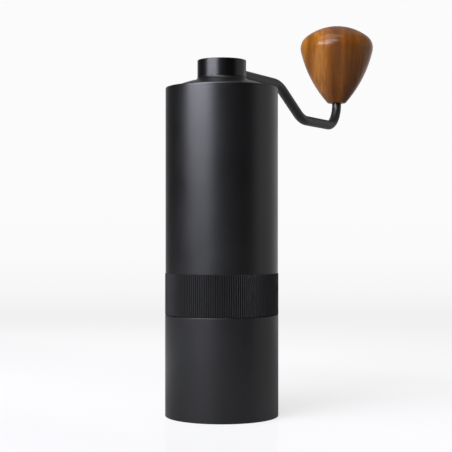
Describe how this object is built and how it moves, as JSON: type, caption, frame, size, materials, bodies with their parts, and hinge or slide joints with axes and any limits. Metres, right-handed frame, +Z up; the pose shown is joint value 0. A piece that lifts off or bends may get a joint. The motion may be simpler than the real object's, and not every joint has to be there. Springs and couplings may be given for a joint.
{
  "type": "hand crank coffee grinder",
  "caption": "Slim cylindrical hand coffee grinder with a knurled grip band, a push-on catch cup and a bent crank arm that carries a tapered wooden knob.",
  "frame": {"origin": "middle of the catch cup's underside, on the grinding axis", "axes": "+Z up along the grinding axis, +X from the axis towards the knob"},
  "size_m": [0.1925, 0.0534, 0.2051],
  "materials": {
    "black_anodised": "satin black anodised over a fine bead-blasted surface",
    "black_knurl": "black anodised straight knurl",
    "lid_black": "satin black anodised, fine turned",
    "machined_aluminium": "machined and clear anodised",
    "burr_steel": "hardened and ground stainless steel",
    "shaft_steel": "turned stainless steel",
    "carrier_steel": "turned steel",
    "spring_steel": "bright spring wire",
    "clip_steel": "phosphated spring steel",
    "bearing_steel": "ground bearing steel",
    "cage_brass": "pressed brass",
    "dial_black": "black anodised",
    "seal_rubber": "matte nitrile rubber",
    "bush_plastic": "cream bearing plastic",
    "knob_bush_plastic": "dark bearing plastic",
    "arm_black": "satin black coated round steel bar",
    "walnut": "lacquered walnut"
  },
  "bodies": {
    "cup": {"catch_cup": "black_anodised"},
    "body": {"body_tube": "black_anodised", "grip_ring": "black_knurl", "burr_frame": "machined_aluminium", "outer_burr": "burr_steel", "burr_lock_ring": "machined_aluminium", "lower_bracket": "machined_aluminium", "hopper_liner": "machined_aluminium", "upper_bracket": "machined_aluminium", "cup_seal": "seal_rubber", "lower_outer_race": "bearing_steel", "upper_outer_race": "bearing_steel", "lower_shields": "bearing_steel", "upper_shields": "bearing_steel", "bearing_circlips": "clip_steel"},
    "lower_ball_set": {"lower_balls": "bearing_steel", "lower_cage": "cage_brass"},
    "upper_ball_set": {"upper_balls": "bearing_steel", "upper_cage": "cage_brass"},
    "shaft": {"drive_shaft": "shaft_steel", "lower_inner_race": "bearing_steel", "upper_inner_race": "bearing_steel", "shaft_clips": "clip_steel", "spring_seat": "shaft_steel", "burr_spring": "spring_steel"},
    "burr": {"inner_burr": "burr_steel", "burr_carrier": "carrier_steel"},
    "dial": {"adjust_dial": "dial_black", "detent_balls": "bearing_steel", "detent_springs": "spring_steel"},
    "lid": {"lid": "lid_black", "lid_bush": "bush_plastic", "lid_seal": "seal_rubber"},
    "crank": {"crank_hub": "black_anodised", "crank_arm": "arm_black", "drive_socket": "shaft_steel", "arm_pin": "shaft_steel", "thrust_washer": "bush_plastic", "lid_clip": "clip_steel", "knob_clip": "clip_steel"},
    "knob": {"knob": "walnut", "knob_lower_bush": "knob_bush_plastic", "knob_upper_bush": "knob_bush_plastic"}
  },
  "joints": [
    {"name": "body_lift", "type": "slide", "parent": "cup", "child": "body", "axis": [0, 0, 1], "range_m": [0, 0.06]},
    {"name": "lid_lift", "type": "slide", "parent": "body", "child": "lid", "axis": [0, 0, 1], "range_m": [0, 0.04]},
    {"name": "crank_spin", "type": "hinge", "parent": "lid", "child": "crank", "pos_m": [0, 0, 0.1635], "axis": [0, 0, 1], "continuous": true},
    {"name": "knob_spin", "type": "hinge", "parent": "crank", "child": "knob", "pos_m": [0.145, 0, 0.175], "axis": [0, 0, 1], "continuous": true},
    {"name": "shaft_spin", "type": "hinge", "parent": "body", "child": "shaft", "pos_m": [0, 0, 0.1], "axis": [0, 0, 1], "continuous": true},
    {"name": "lower_bearing_roll", "type": "hinge", "parent": "body", "child": "lower_ball_set", "pos_m": [0, 0, 0.0765], "axis": [0, 0, 1], "continuous": true},
    {"name": "upper_bearing_roll", "type": "hinge", "parent": "body", "child": "upper_ball_set", "pos_m": [0, 0, 0.1385], "axis": [0, 0, 1], "continuous": true},
    {"name": "burr_slide", "type": "slide", "parent": "shaft", "child": "burr", "axis": [0, 0, 1], "range_m": [0, 0.00187], "deforming": ["burr_spring"]},
    {"name": "dial_turn", "type": "hinge", "parent": "burr", "child": "dial", "pos_m": [0, 0, 0.038], "axis": [0, 0, 1], "range_deg": [0, 900]}
  ],
  "couplings": [
    {"joint": "shaft_spin", "follows": "crank_spin", "ratio": 1},
    {"joint": "lower_bearing_roll", "follows": "crank_spin", "ratio": 0.4215},
    {"joint": "upper_bearing_roll", "follows": "crank_spin", "ratio": 0.4215},
    {"joint": "dial_turn", "follows": "burr_slide", "rad_per_m": 8377.6}
  ]
}
